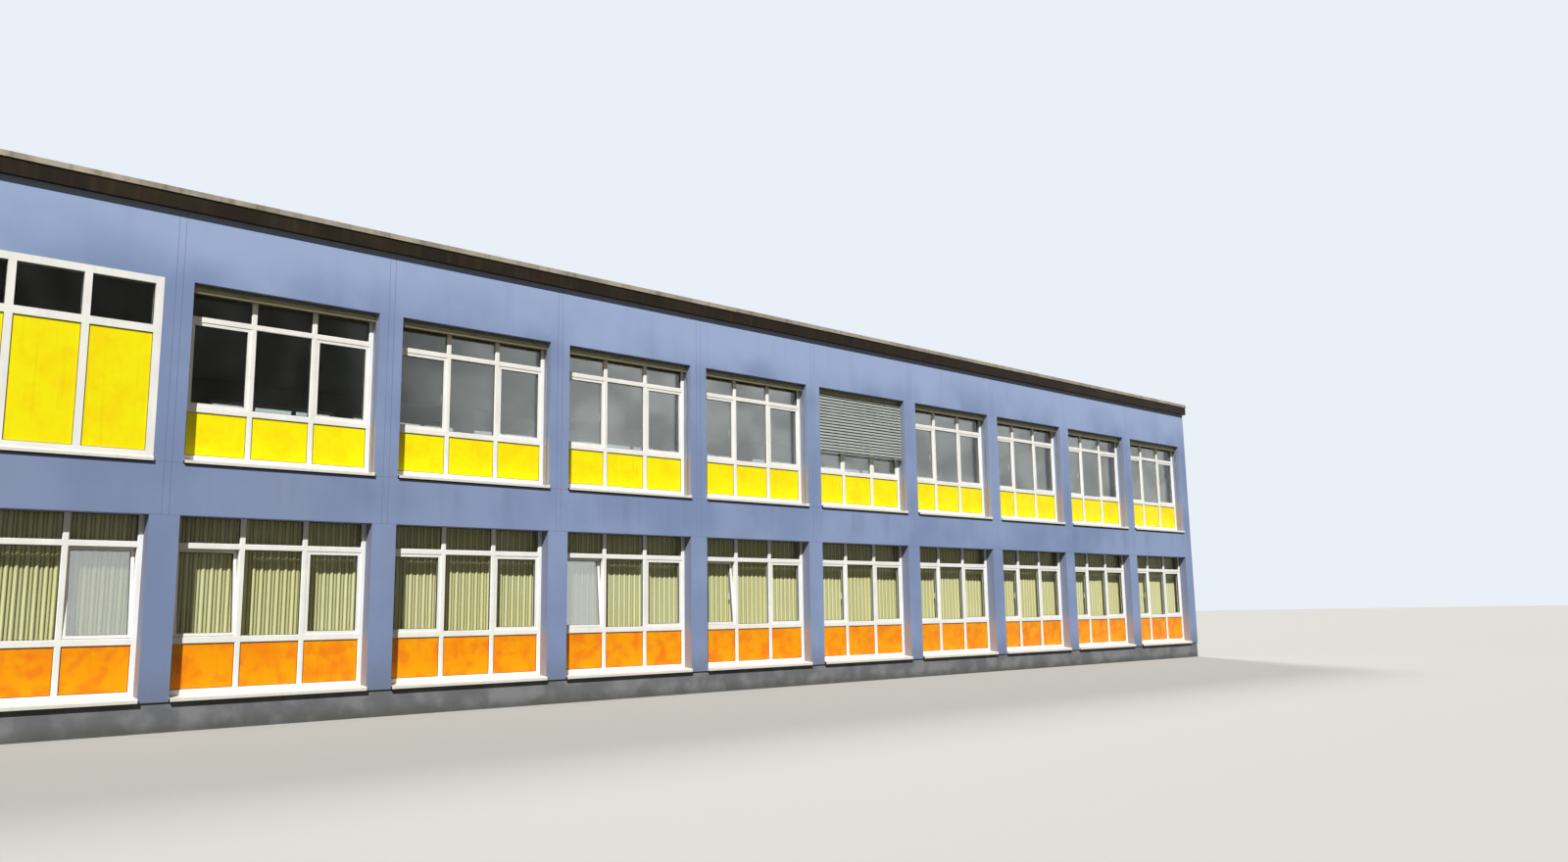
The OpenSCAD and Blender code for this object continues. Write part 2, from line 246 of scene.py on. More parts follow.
wallLook = {
    "mid": "#8092ba",
    "pale": "#90a2c9",
    "roofBand": "#a2b4dc",
    "streakAndShade": "#72809f",
    "splash": "#6f788c",
    "joint": "#5f6a86",
    "sillShadow": "#191b20",
    "reveal": "#777d90",
    "panelBounce": "#a58c82",
    "indoors": "#a9a69c",
    "felt": "#2c2b2a",
    "jointWidth": 0.008,
    "jointGap": 0.1,
    "sillShadowHeight": 0.018,
    "endPanel": 2.55,
    "indoorDepth": 0.26,
    "skin": 0.01,
    "edge": 0.004,
    "nearRoof": (-0.2, 1.1),
    "shaded": (-0.2, 1),
    "underSill": (0.3, 0.1, 0.42),
    "splashed": (0.5, 1.25),
    "warmed": (-0.25, 0.15),
    "grain": 0.0012,
}


def wallFinish(look):
    coat = Finish("wallRender")
    indoors = abs(coat.y) < halfDepth - look["indoorDepth"]
    indoors = indoors * (abs(coat.x) < halfLength - wallThick + look["skin"])
    ends = abs(coat.x) > halfLength - look["skin"]
    outside = abs(coat.y) > halfDepth - look["skin"]
    cloud = coat.ease(coat.noise(0.5, 5), 0.35, 0.65) * (1 - 0.65 * ends)
    fine = coat.noise(9, 3)
    colour = coat.blend(cloud, paint(look["mid"]), paint(look["pale"]))
    # the band under the roof is paler, the foot of the wall is soiled
    nearRoof = coat.ease(coat.z - headLevel["upper"] + 0.5 * cloud, *look["nearRoof"])
    colour = coat.blend(0.9 * nearRoof, colour, paint(look["roofBand"]))
    # painted shade: the front wall of the left bays is darker up to the upper sills
    shaded = (1 - coat.ease(coat.x, openingLeft(1), openingLeft(4))) * (coat.y < 0) * (1 - ends)
    shaded = shaded * (1 - coat.ease(coat.z - sillLevel["upper"], *look["shaded"]))
    colour = coat.blend(0.4 * shaded, colour, paint(look["streakAndShade"]))
    runs = coat.ease(coat.noise(1, 4, (2.6, 2.6, 0.16)), 0.5, 0.78)
    below, near, far = look["underSill"]
    underSills = (1 - coat.ease(abs(coat.z - sillLevel["upper"] + below), near, far)) * 0.32
    colour = coat.blend(runs * (0.14 + underSills), colour, paint(look["streakAndShade"]))
    wet = 1 - coat.ease(coat.z + 0.35 * fine, *look["splashed"])
    colour = coat.blend(wet * 0.7, colour, paint(look["splash"]))
    # hairline joints between the wall's elements: pairs over the piers, level ones at the storeys
    along = ((coat.x + halfLength - wing["pier"] / 2) / bayStep + 0.5).fraction() - 0.5
    fromPier = abs(along) * bayStep
    upright = coat.line(fromPier, look["jointGap"] / 2, look["jointWidth"])
    upright = upright * (coat.z > headLevel["ground"])
    endField = ((coat.y / look["endPanel"] + 0.5).fraction() - 0.5) * look["endPanel"]
    upright = upright * (1 - ends) + coat.line(endField, 0, look["jointWidth"]) * ends
    level = coat.line(coat.z, headLevel["ground"], look["jointWidth"])
    level = level.either(coat.line(coat.z, sillLevel["upper"], look["jointWidth"]))
    joint = upright.either(level) * outside.either(ends)
    colour = coat.blend(joint * 0.6, colour, paint(look["joint"]))
    # painted shadow: a near-black strip on the wall just under each sill
    sillShadow = coat.line(coat.z, sillLevel["upper"] - look["sillShadowHeight"] / 2, look["sillShadowHeight"])
    sillShadow = sillShadow * outside * (fromPier > wing["pier"] / 2)
    colour = coat.blend(sillShadow * 0.9, colour, paint(look["sillShadow"]))
    # painted light and shade: the reveals are greyer and darker than the wall face, and warm beside the
    # coloured panels, which throw their light on them
    reveal = coat.line(fromPier, wing["pier"] / 2, look["edge"]) * (1 - ends)
    reveal = reveal * (abs(coat.y) < halfDepth - look["edge"]) * (coat.z < headLevel["upper"])
    upper = coat.z > headLevel["ground"]
    colour = coat.blend(reveal * (0.85 - 0.25 * upper), colour, paint(look["reveal"]))
    rise = coat.z - sillLevel["ground"] - (sillLevel["upper"] - sillLevel["ground"]) * upper
    low = 1 - coat.ease(rise - mainRise, *look["warmed"])
    colour = coat.blend(reveal * low * 0.55, colour, paint(look["panelBounce"]))
    # painted shade: the indoor faces are a darker grey, to keep the rooms dim behind the glass
    colour = coat.blend(indoors, colour, paint(look["indoors"]))
    overRoof = indoors * (coat.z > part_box("roof_covering")[0].z)
    colour = coat.blend(overRoof, colour, paint(look["felt"]))
    height = coat.noise(160, 2) * 0.6 + fine * 0.4 - joint
    return coat.close(coat.principled({
        "Base Color": colour,
        "Roughness": 0.8 + 0.15 * fine - 0.1 * runs,
        "Specular IOR Level": 0.35,
        "Normal": coat.bump(height, look["grain"], 0.6),
    }))


plinthLook = {
    "mid": "#6a6c70", "pale": "#85868a", "soil": "#4d4c47", "moss": "#5b6149", "soiled": (0.06, 0.3),
}


def plinthFinish(look):
    coat = Finish("plinthRender")
    cloud = coat.noise(2.2, 5)
    pebbles = coat.noise(85, 2)
    colour = coat.blend(coat.ease(cloud, 0.35, 0.65), paint(look["mid"]), paint(look["pale"]))
    foot = 1 - coat.ease(coat.z + 0.15 * cloud, *look["soiled"])
    colour = coat.blend(foot * 0.75, colour, paint(look["soil"]))
    damp = foot * coat.ease(coat.noise(5, 4), 0.5, 0.7)
    colour = coat.blend(damp * 0.6, colour, paint(look["moss"]))
    return coat.close(coat.principled({
        "Base Color": colour,
        "Roughness": 0.86 + 0.1 * pebbles,
        "Normal": coat.bump(pebbles + 0.3 * cloud, 0.003, 0.8),
    }))


slabLook = {
    "ceiling": "#98958b", "shade": "#827f76", "floor": "#514a40", "fleck": "#675e51",
    "board": 0.625, "seam": 0.012, "skin": 0.04,
}


def slabFinish(look):
    coat = Finish("slabConcrete")
    cloud = coat.noise(0.8, 4)
    flecks = coat.ease(coat.noise(40, 2), 0.45, 0.6)
    lino = coat.line(coat.z, sillLevel["ground"], look["skin"])
    lino = lino.either(coat.line(coat.z, sillLevel["upper"], look["skin"]))
    # ceiling boards in square fields, with flooring on top of the slabs; the ceiling is a darker grey
    # than plaster: painted shade for the dim rooms
    seam = coat.line((coat.x / look["board"]).fraction(), 0.5, look["seam"])
    seam = seam.either(coat.line((coat.y / look["board"]).fraction(), 0.5, look["seam"]))
    top = coat.blend(flecks, paint(look["floor"]), paint(look["fleck"]))
    under = coat.blend(cloud, paint(look["ceiling"]), paint(look["shade"]))
    under = coat.blend(seam * 0.5, under, paint(look["floor"]))
    return coat.close(coat.principled({
        "Base Color": coat.blend(lino, under, top),
        "Roughness": 0.85 - 0.45 * lino,
        "Normal": coat.bump(flecks - seam, 0.001, 0.3),
    }))


gravelLook = {
    "stone": "#9a968d", "stoneDark": "#6b6760", "gap": "#3f3d39", "moss": "#6a6f4e",
    "felt": "#3a3937", "stoneSize": 0.035, "edge": 0.4,
}


def gravelFinish(look):
    coat = Finish("roofGravel")
    pebble = coat.add("ShaderNodeTexVoronoi", {}, {
        "Vector": coat.place, "Scale": 1 / look["stoneSize"]}, "Distance")
    tone = coat.add("ShaderNodeSeparateColor", {}, {"Color": pebble.also("Color")})
    colour = coat.blend(tone, paint(look["stoneDark"]), paint(look["stone"]))
    # painted shade: darker between the stones
    colour = coat.blend(coat.ease(pebble, 0.35, 0.75), colour, paint(look["gap"]))
    patch = coat.ease(coat.noise(0.35, 6, roughness=0.62), 0.52, 0.7)
    colour = coat.blend(patch * 0.45, colour, paint(look["moss"]))
    inX = halfLength - wallThick - look["edge"]
    inY = halfDepth - wallThick - look["edge"]
    ragged = 0.05 * coat.noise(6, 3)
    felt = (abs(coat.x) + ragged > inX).either(abs(coat.y) + ragged > inY)
    grit = coat.noise(220, 2)
    bare = coat.blend(grit, paint(look["felt"]), paint(look["gap"]))
    height = (1 - pebble) * (1 - felt) + 0.1 * grit
    return coat.close(coat.principled({
        "Base Color": coat.blend(felt, colour, bare),
        "Roughness": 0.88 + 0.08 * grit,
        "Normal": coat.bump(height, 0.012, 0.8),
    }))


fasciaLook = {
    "sheet": "#201810", "worn": "#2c2316", "dust": "#50462f", "seam": "#100e0d",
    "length": 2.0, "gap": 0.003,
}


def fasciaFinish(look):
    coat = Finish("darkFascia")
    grain = coat.noise(30, 3, (1, 1, 4))
    runs = coat.ease(coat.noise(1, 4, (7, 7, 0.5)), 0.45, 0.75)
    colour = coat.blend(coat.ease(coat.noise(1.3, 4), 0.4, 0.7), paint(look["sheet"]),
                        paint(look["worn"]))
    colour = coat.blend(runs * 0.22, colour, paint(look["dust"]))
    sheets = coat.x / look["length"] + coat.y / look["length"]
    seam = coat.line((sheets + 0.5).fraction(), 0.5, look["gap"])
    colour = coat.blend(seam, colour, paint(look["seam"]))
    return coat.close(coat.principled({
        "Base Color": colour,
        "Roughness": 0.45 + 0.2 * runs + 0.1 * grain,
        "Specular IOR Level": 0.15,
        "Normal": coat.bump(grain - 3 * seam, 0.0008, 0.5),
    }))


trimLook = {
    "metal": "#988d7e", "pale": "#b3a898", "stain": "#635a4c", "top": "#6f685d", "skin": 0.002,
}


def trimFinish(look):
    coat = Finish("edgeTrim")
    brushed = coat.noise(14, 4, (0.4, 3, 3))
    cloud = coat.noise(1.7, 5)
    colour = coat.blend(coat.ease(cloud, 0.35, 0.65), paint(look["metal"]), paint(look["pale"]))
    runs = coat.ease(coat.noise(1, 4, (9, 9, 1.2)), 0.5, 0.72)
    # the top lies in the weather and is duller than the outer face
    outer = abs(coat.y) > trimHigh.y - look["skin"]
    outer = outer.either(abs(coat.x) > trimHigh.x - look["skin"])
    colour = coat.blend(0.7 - 0.7 * outer, colour, paint(look["top"]))
    colour = coat.blend(runs * (0.3 + 0.25 * outer), colour, paint(look["stain"]))
    return coat.close(coat.principled({
        "Base Color": colour,
        "Metallic": 0.35 - 0.2 * runs,
        "Roughness": 0.42 + 0.25 * cloud,
        "Normal": coat.bump(brushed, 0.0006, 0.4),
    }))


frameLook = {
    "white": "#fbfaf6", "soft": "#f4f3ee", "grime": "#bdb7a8", "under": "#2c2b29",
    "grimeRise": (0.045, 0.13), "shadedUnderside": 0.003, "grain": 0.0003,
}


def frameFinish(look):
    coat = Finish("whiteFrame")
    cloud = coat.noise(2.4, 4)
    colour = coat.blend(coat.ease(cloud, 0.35, 0.65), paint(look["white"]), paint(look["soft"]))
    # grime settles just over each sill and runs down from the rails
    low = coat.z - sillLevel["ground"]
    high = coat.z - sillLevel["upper"]
    over = 1 - coat.ease(low, *look["grimeRise"])
    over = over.either((1 - coat.ease(high, *look["grimeRise"])) * (high > 0))
    runs = coat.ease(coat.noise(1, 4, (16, 16, 0.9)), 0.5, 0.75)
    dirt = over * 0.35 + runs * 0.12
    colour = coat.blend(dirt, colour, paint(look["grime"]))
    # painted shade: the undersides of the sills are near black
    shadedUnderside = coat.line(low, 0, look["shadedUnderside"]).either(coat.line(high, 0, look["shadedUnderside"]))
    colour = coat.blend(shadedUnderside * 0.9, colour, paint(look["under"]))
    return coat.close(coat.principled({
        "Base Color": colour,
        "Roughness": 0.32 + 0.25 * dirt + 0.06 * cloud,
        "Normal": coat.bump(coat.noise(240, 2), look["grain"], 0.2),
    }))


glassLook = {
    "tint": "#f7faf9",
    "mirrorTint": "#f4f2ea",
    "lowMirror": 0.006,
    "dimMirror": 0.004,
    "highMirror": 0.22,
    "clouds": 0.1,
    "grazing": 0.85,
    "lowGrazing": 0.3,
    "film": 0.008,
    "filmColour": "#dfe1d9",
    "darkEnd": openingLeft(1) + 2,
    "skyStart": openingLeft(3),
    "veils": ((0, 2, 0.32), (3, 0, 0.4)),
    "wave": 0.004,
}


def glassFinish(look):
    coat = Finish("windowGlass")
    facing = coat.add("ShaderNodeLayerWeight", {}, {"Blend": 0.5}, "Facing")
    upstairs = coat.z > (headLevel["ground"] + sillLevel["upper"]) / 2
    # the upper panes mirror the sky, less so near the tall window, and the lower ones are dark
    skyward = coat.ease(coat.x, look["darkEnd"], look["skyStart"]).either(coat.y > 0)
    cloud = coat.ease(coat.noise(1, 3, (0.9, 0.9, 1.3)), 0.35, 0.65) - 0.5
    bright = look["highMirror"] + look["clouds"] * cloud
    high = look["dimMirror"] + skyward * (bright - look["dimMirror"])
    straight = high * upstairs + look["lowMirror"] * (1 - upstairs)
    slanted = look["grazing"] * upstairs + look["lowGrazing"] * (1 - upstairs)
    mirror = straight + slanted * facing ** 5
    dust = coat.ease(coat.noise(3, 5, (1, 1, 0.6)), 0.4, 0.75) * look["film"]
    # two tilted sashes mirror more of the sky, given by bay, column and how much
    for bay, column, veil in look["veils"]:
        centre = openingLeft(bay) + columnLeft(column) + columnWidth / 2
        middle = sillLevel["ground"] + mainRise + window["main"] / 2
        pane = (abs(coat.x - centre) < columnWidth / 2) * (abs(coat.z - middle) < window["main"] / 2)
        mirror = mirror + pane * (coat.y < 0) * veil
    wave = coat.bump(coat.noise(0.9, 2), look["wave"], 0.25)
    gloss = coat.principled({
        "Base Color": coat.blend(dust * 8, paint(look["mirrorTint"]), paint(look["filmColour"])),
        "Metallic": 1.0,
        "Roughness": 0.03 + 1.2 * dust,
        "Normal": wave,
    })
    clear = coat.add("ShaderNodeBsdfTransparent", {}, {"Color": paint(look["tint"])})
    return coat.close(coat.add("ShaderNodeMixShader", {}, {
        0: mirror + dust, 1: clear, 2: gloss}))


panelLook = {
    "yellowPanel": {
        "coat": "#fff200", "worn": "#fee300", "edge": "#efc800", "dirt": "#8b7400",
        "spread": (0.52, 0.8), "dappleShade": 0.3,
    },
    "orangePanel": {
        "coat": "#fca400", "worn": "#f88f05", "edge": "#ec6616", "dirt": "#7d4a12",
        "spread": (0.44, 0.68), "dappleShade": 0.5,
    },
}


def panelFinish(name):
    coat, look = Finish(name), panelLook[name]
    cloud = coat.noise(2.1, 5, roughness=0.6)
    # painted shade: blotches of the edge colour stand for dappled leaf shadow
    dapple = coat.ease(coat.noise(4.6, 4), *look["spread"])
    colour = coat.blend(coat.ease(cloud, 0.4, 0.7), paint(look["coat"]), paint(look["worn"]))
    colour = coat.blend(dapple * look["dappleShade"], colour, paint(look["edge"]))
    runs = coat.ease(coat.noise(1, 3, (20, 20, 0.8)), 0.55, 0.8)
    colour = coat.blend(runs * 0.1, colour, paint(look["dirt"]))
    return coat.close(coat.principled({
        "Base Color": colour,
        "Roughness": 0.3 + 0.15 * cloud + 0.1 * runs,
        "Specular IOR Level": 0.3,
        "Normal": coat.bump(coat.noise(60, 2), 0.0003, 0.2),
    }))


slatLook = {
    "coat": "#bcc2c0", "dull": "#a3a7a2", "dust": "#7d786a", "edges": "#9c9160", "box": "#332f1d",
    "stack": 0.14, "boxHeight": 0.05, "rail": 0.02,
}


def slatFinish(look):
    coat = Finish("blindSlat")
    cloud = coat.noise(1.8, 4)
    colour = coat.blend(cloud, paint(look["coat"]), paint(look["dull"]))
    dust = coat.ease(coat.noise(6, 4, (1, 4, 4)), 0.45, 0.7)
    colour = coat.blend(dust * 0.4, colour, paint(look["dust"]))
    # painted shade under the window head: the stack is olive-brown, partly the weathered slats' own
    # colour, its box near black and its rail darker
    below = headLevel["upper"] - coat.z
    colour = coat.blend((below < look["stack"]) * 0.8, colour, paint(look["edges"]))
    rail = coat.line(below, look["stack"] - look["rail"] / 2, look["rail"])
    colour = coat.blend((below < look["boxHeight"]) * 0.85 + rail * 0.4, colour, paint(look["box"]))
    return coat.close(coat.principled({
        "Base Color": colour,
        "Metallic": 0.15,
        "Roughness": 0.38 + 0.3 * dust,
        "Normal": coat.bump(coat.noise(30, 2, (0.3, 3, 3)), 0.0004, 0.3),
    }))


railLook = {"metal": "#b4b6b8", "dull": "#8c8d8d"}


def railFinish(look):
    coat = Finish("railMetal")
    cloud = coat.noise(3, 4)
    lines = coat.noise(40, 3, (2, 2, 0.1))
    return coat.close(coat.principled({
        "Base Color": coat.blend(cloud, paint(look["metal"]), paint(look["dull"])),
        "Metallic": 0.7,
        "Roughness": 0.3 + 0.25 * cloud,
        "Normal": coat.bump(lines, 0.0004, 0.4),
    }))


clothLook = {
    "thread": "#f3e6a6", "shadow": "#d8cc8c", "fade": "#f9f2cc", "stitch": "#8f8a66",
    "creaseShade": "#68633a", "weave": (90, 6), "hem": 0.09, "tape": (0.03, 0.075), "seam": 0.004,
}


def clothFinish(look):
    coat = Finish("curtainCloth")
    cut = coat.add("ShaderNodeUVMap", {"uv_map": "cut"})
    across = coat.add("ShaderNodeSeparateXYZ", {}, {"Vector": cut})
    up = across.also("Y")
    dense, loose = look["weave"]
    slub = coat.noise(1, 4, (dense, loose, 1), place=cut)
    cross = coat.noise(1, 4, (loose, dense, 1), place=cut)
    colour = coat.blend(slub, paint(look["shadow"]), paint(look["thread"]))
    colour = coat.blend(cross * 0.4, colour, paint(look["fade"]))
    colour = coat.blend(coat.ease(coat.noise(0.7, 3), 0.4, 0.7) * 0.3, colour, paint(look["fade"]))
    # painted shade in the folds: the valleys are darker than the crests
    fold = coat.add("ShaderNodeAttribute", {"attribute_name": "fold"}, out="Fac")
    creaseShade = 1 - coat.ease(fold, 0.05, 0.8)
    colour = coat.blend(creaseShade * 0.7, colour, paint(look["creaseShade"]))
    stitch = coat.line(up, look["hem"], look["seam"])
    for row in look["tape"]:
        stitch = stitch.either(coat.line(up, curtainLength - row, look["seam"]))
    colour = coat.blend(stitch * 0.6, colour, paint(look["stitch"]))
    height = slub + cross - stitch
    return coat.close(coat.principled({
        "Base Color": colour,
        "Roughness": 0.85 + 0.1 * cross,
        "Sheen Weight": 0.25,
        "Sheen Roughness": 0.5,
        "Normal": coat.bump(height, 0.001, 0.6),
    }))


rubberLook = {"strip": "#1f2021", "dust": "#393a39"}


def rubberFinish(look):
    coat = Finish("gasketRubber")
    dust = coat.noise(25, 3)
    return coat.close(coat.principled({
        "Base Color": coat.blend(dust, paint(look["strip"]), paint(look["dust"])),
        "Roughness": 0.6 + 0.25 * dust,
    }))


finishes = {
    "wall_render": wallFinish(wallLook),
    "plinth_render": plinthFinish(plinthLook),
    "concrete": slabFinish(slabLook),
    "roof_gravel": gravelFinish(gravelLook),
    "dark_fascia": fasciaFinish(fasciaLook),
    "edge_trim": trimFinish(trimLook),
    "white_frame": frameFinish(frameLook),
    "window_glass": glassFinish(glassLook),
    "yellow_panel": panelFinish("yellowPanel"),
    "orange_panel": panelFinish("orangePanel"),
    "blind_slat": slatFinish(slatLook),
    "rail_metal": railFinish(railLook),
    "curtain_cloth": clothFinish(clothLook),
}
gasketRubber = rubberFinish(rubberLook)
for node in nodes.values():
    for slot in node.material_slots:
        slot.material = finishes[slot.material.name]
print("finishes on the packed nodes:", len(finishes))


def addPiece(name, mesh, finish, replaced=()):
    piece = bpy.data.objects.new(name, mesh)
    bpy.context.collection.objects.link(piece)
    mesh.materials.clear()
    mesh.materials.append(finish)
    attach(piece, "root")
    if replaced:
        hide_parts(*replaced)
    return piece


def addBlock(shape, low, high):
    place = Matrix.Translation((Vector(low) + Vector(high)) / 2)
    size = Vector(high) - Vector(low)
    bmesh.ops.create_cube(shape, size=1, matrix=place @ Matrix.Diagonal((*size, 1)))


def closeShape(shape, name, rounding=0):
    if rounding:
        bmesh.ops.bevel(shape, geom=shape.edges[:], offset=rounding, segments=2, profile=0.5,
                        affect="EDGES")
    bmesh.ops.recalc_face_normals(shape, faces=shape.faces)
    mesh = bpy.data.meshes.new(name)
    shape.to_mesh(mesh)
    shape.free()
    return mesh


def addProfile(shape, outline, left, right):
    # a closed outline of (y, z) points, drawn out along x
    ends = [[shape.verts.new((x, y, z)) for y, z in outline] for x in (left, right)]
    count = len(outline)
    for i in range(count):
        j = (i + 1) % count
        shape.faces.new((ends[0][i], ends[0][j], ends[1][j], ends[1][i]))
    shape.faces.new(reversed(ends[0]))
    shape.faces.new(ends[1])


def repeatTree():
    # sets a row of copies of a template at each anchor, a step apart
    tree = bpy.data.node_groups.new("repeatAlongStep", "GeometryNodeTree")
    tree.is_modifier = True
    wanted = (("Anchors", "Geometry"), ("Template", "Object"), ("Count", "Int"),
              ("Step", "Vector"), ("Turn", "Vector"), ("Shake", "Vector"),
              ("Seed", "Int"), ("Finish", "Material"))
    for name, kind in wanted:
        tree.interface.new_socket(name=name, in_out="INPUT", socket_type="NodeSocket" + kind)
    tree.interface.new_socket(name="Row", in_out="OUTPUT", socket_type="NodeSocketGeometry")
    bench = Bench(tree)
    given = bench.add("NodeGroupInput")
    line = bench.add("GeometryNodeMeshLine", {"mode": "OFFSET"}, {
        "Count": given.also("Count"), "Offset": given.also("Step")})
    rows = bench.add("GeometryNodeInstanceOnPoints", {}, {"Points": given, "Instance": line})
    spots = bench.add("GeometryNodeRealizeInstances", {}, {"Geometry": rows})
    template = bench.add("GeometryNodeObjectInfo", {}, {"Object": given.also("Template")},
                         "Geometry")
    chance = bench.add("FunctionNodeRandomValue", {"data_type": "FLOAT_VECTOR"}, {
        0: (-1, -1, -1), 1: (1, 1, 1), "Seed": given.also("Seed")})
    shake = bench.add("ShaderNodeVectorMath", {"operation": "MULTIPLY"}, {
        0: chance, 1: given.also("Shake")})
    turn = bench.add("ShaderNodeVectorMath", {"operation": "ADD"}, {
        0: shake, 1: given.also("Turn")})
    copies = bench.add("GeometryNodeInstanceOnPoints", {}, {
        "Points": spots, "Instance": template, "Rotation": turn})
    solid = bench.add("GeometryNodeRealizeInstances", {}, {"Geometry": copies})
    dressed = bench.add("GeometryNodeSetMaterial", {}, {
        "Geometry": solid, "Material": given.also("Finish")})
    bench.add("NodeGroupOutput", {}, {0: dressed})
    return tree


def gasketTree():
    # lays a square strip round the edge of each loose rectangle
    tree = bpy.data.node_groups.new("stripRoundPanes", "GeometryNodeTree")
    tree.is_modifier = True
    for name, kind in (("Panes", "Geometry"), ("Width", "Float"), ("Finish", "Material")):
        tree.interface.new_socket(name=name, in_out="INPUT", socket_type="NodeSocket" + kind)
    tree.interface.new_socket(name="Strips", in_out="OUTPUT", socket_type="NodeSocketGeometry")
    bench = Bench(tree)
    given = bench.add("NodeGroupInput")
    loops = bench.add("GeometryNodeMeshToCurve", {}, {"Mesh": given})
    section = bench.add("GeometryNodeCurvePrimitiveQuadrilateral", {}, {
        "Width": given.also("Width"), "Height": given.also("Width")})
    strips = bench.add("GeometryNodeCurveToMesh", {}, {"Curve": loops, "Profile Curve": section})
    flat = bench.add("GeometryNodeSetShadeSmooth", {}, {"Geometry": strips, "Shade Smooth": False})
    solid = bench.add("GeometryNodeRealizeInstances", {}, {"Geometry": flat})
    dressed = bench.add("GeometryNodeSetMaterial", {}, {
        "Geometry": solid, "Material": given.also("Finish")})
    bench.add("NodeGroupOutput", {}, {0: dressed})
    return tree


def grow(name, tree, points, faces, inputs, replaced=()):
    base = bpy.data.meshes.new(name + "Base")
    base.from_pydata([tuple(p) for p in points], [], faces)
    piece = bpy.data.objects.new(name + "Base", base)
    modifier = piece.modifiers.new("growth", "NODES")
    modifier.node_group = tree
    for item in tree.interface.items_tree:
        if item.in_out == "INPUT" and item.name in inputs:
            modifier[item.identifier] = inputs[item.name]
    bpy.context.collection.objects.link(piece)
    whole = bpy.context.evaluated_depsgraph_get()
    grown = bpy.data.meshes.new_from_object(piece.evaluated_get(whole))
    grown.name = name
    bpy.data.objects.remove(piece)
    return addPiece(name, grown, inputs["Finish"], replaced)


def template(mesh):
    # an object that a tree copies, removed when its copies are made
    helper = bpy.data.objects.new(mesh.name, mesh)
    bpy.context.collection.objects.link(helper)
    return helper


rowTree = repeatTree()
stripTree = gasketTree()
single = {"Count": 1, "Step": (0, 0, 0), "Turn": (0, 0, 0), "Shake": (0, 0, 0), "Seed": 5}


def setCopies(name, pattern, spots, finish, changes):
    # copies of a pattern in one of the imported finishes, whose material slot has the same name
    inputs = {**single, "Template": pattern, "Finish": finishes[finish], **changes}
    grow(name, rowTree, spots, [], inputs)


curtain = {
    "pitch": 0.121,
    "rows": 10,
    "fold": 0.044,
    "folds": ((0.57, 1.0, 10), (0.43, 0.6, 8)),
    "crest": 0.8,
    "header": 0.62,
    "opening": 2.5,
    "openingCurve": 0.7,
    "uneven": 0.3,
    "drift": 0.008,
    "driftCurve": 1.5,
    "hemLift": 0.005,
    "hemCurve": 6,
    "thick": 0.0016,
    "over": 0.14,
    "gap": 0.01,
    "meet": 0.002,
    "fullness": 1.42,
    "seed": 11,
}


def makeCurtain(name, left, right, low, high, middle, look, chance):
    # even pleats from a gathered header, each with a large fold and a small one, which are
    # given by width, depth and number of steps: crests face the window, the valleys are narrow
    pleats = round((right - left) / look["pitch"])
    profile, begin = [], 0
    for share, height, steps in look["folds"]:
        for i in range(steps):
            bulge = math.sin(math.pi * i / steps) ** look["crest"]
            profile.append((begin + share * i / steps, height * bulge))
        begin += share
    depths = [1 - chance.uniform(0, look["uneven"]) for _ in range(pleats + 1)]
    drifts = [chance.uniform(-1, 1) * look["drift"] for _ in range(pleats + 1)]
    drifts[0] = drifts[-1] = 0
    lifts = [chance.uniform(0, 1) * look["hemLift"] for _ in range(pleats + 1)]
    across = pleats * len(profile) + 1

    def between(values, t):
        i = min(int(t), pleats - 1)
        ease = (1 - math.cos(math.pi * (t - i))) / 2
        return values[i] + (values[i + 1] - values[i]) * ease

    points, cut, folds = [], [], []
    for row in range(look["rows"] + 1):
        down = row / look["rows"]
        opened = min(1, down * look["opening"]) ** look["openingCurve"]
        fall = look["header"] + (1 - look["header"]) * opened
        run, last = 0, None
        for i in range(across):
            part, bulge = profile[i % len(profile)]
            t = i // len(profile) + part
            x = left + (right - left) * t / pleats + between(drifts, t) * down ** look["driftCurve"]
            y = look["fold"] * (bulge * between(depths, t) - 0.5) * fall
            z = high + (low - high) * down + between(lifts, t) * down ** look["hemCurve"]
            point = Vector((x, middle - y, z))
            if last:
                run += (point - last).length
            last = point
            points.append(point)
            folds.append(bulge)
            cut.append((run, high - low - (high - low) * down))
    faces = []
    for row in range(look["rows"]):
        for i in range(across - 1):
            a = row * across + i
            faces.append((a, a + across, a + across + 1, a + 1))
    mesh = bpy.data.meshes.new(name)
    mesh.from_pydata(points, [], faces)
    layer = mesh.uv_layers.new(name="cut")
    for loop in mesh.loops:
        layer.data[loop.index].uv = cut[loop.vertex_index]
    # the fold values, 0 in a valley and 1 on a crest, darken the valleys in the cloth finish: painted
    # shade
    mesh.attributes.new("fold", "FLOAT", "POINT").data.foreach_set("value", folds)
    mesh.shade_smooth()
    piece = addPiece(name, mesh, finishes["curtain_cloth"], ["ground_curtains"])
    body = piece.modifiers.new("cloth", "SOLIDIFY")
    body.thickness = look["thick"]
    body.offset = 0
    return piece


chance = random.Random(curtain["seed"])
middle = (curtainLow.y + curtainHigh.y) / 2
endWall = halfLength - wallThick - curtain["gap"]
for bay in range(wing["bays"]):
    left = max(openingLeft(bay) - curtain["over"], -endWall)
    right = min(openingLeft(bay) + openingWidth + curtain["over"], endWall)
    width = (right - left - curtain["meet"]) / 2
    for hand, start in (("Left", left), ("Right", right - width)):
        piece = makeCurtain(f"curtain{bay + 1}{hand}", start, start + width, curtainLow.z,
                            curtainHigh.z, middle, curtain, chance)
        width * curtain["fullness"]
print("curtains hung:", 2 * wing["bays"])

